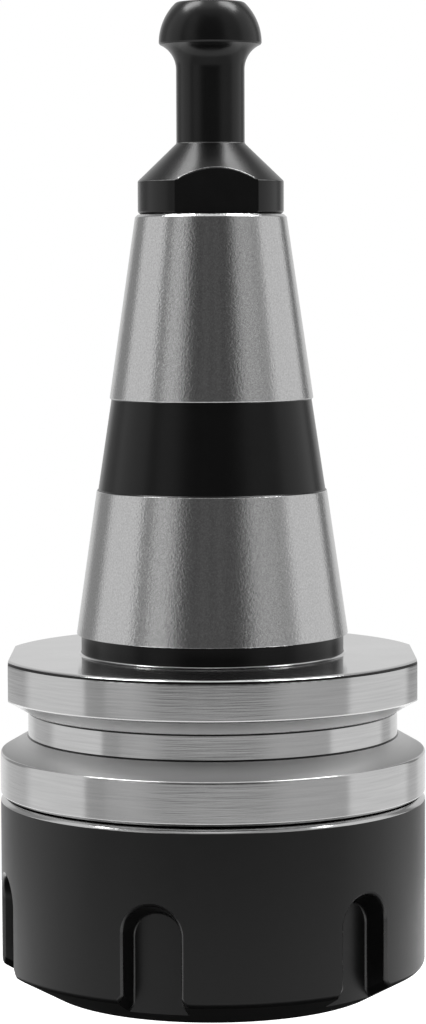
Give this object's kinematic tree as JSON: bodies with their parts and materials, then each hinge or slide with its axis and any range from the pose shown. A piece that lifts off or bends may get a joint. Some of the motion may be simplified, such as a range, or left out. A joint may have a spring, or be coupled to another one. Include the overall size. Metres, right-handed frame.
{
  "type": "collet chuck holder",
  "caption": "Steep-taper tool holder with a V flange, a pull stud, a slotted spring collet and a slotted clamping nut that screws up to close the collet on a cutter shank.",
  "frame": {"origin": "centre of the gauge plane, the level where the taper shank measures 31.75 mm across", "axes": "+Z along the spindle axis towards the pull stud, -Z out of the collet's mouth, -Y towards the side seen in the picture"},
  "size_m": [0.05, 0.05, 0.1154],
  "materials": {
    "ground_steel": "ground taper, turned flange",
    "black_oxide": "glossy black oxide",
    "collet_steel": "ground spring steel"
  },
  "bodies": {
    "holder": {"holder_body": "ground_steel", "pull_stud": "black_oxide"},
    "collet": {"spring_collet": "collet_steel"},
    "nut": {"clamping_nut": "black_oxide"}
  },
  "joints": [
    {"name": "collet_slide", "type": "slide", "parent": "holder", "child": "collet", "axis": [0, 0, -1], "range_m": [0, 0.01125]},
    {"name": "nut_turn", "type": "hinge", "parent": "collet", "child": "nut", "pos_m": [0, 0, 0], "axis": [0, 0, -1], "range_deg": [0, 2700]}
  ],
  "couplings": [
    {"joint": "collet_slide", "follows": "nut_turn", "m_per_rad": 0.00023873}
  ]
}
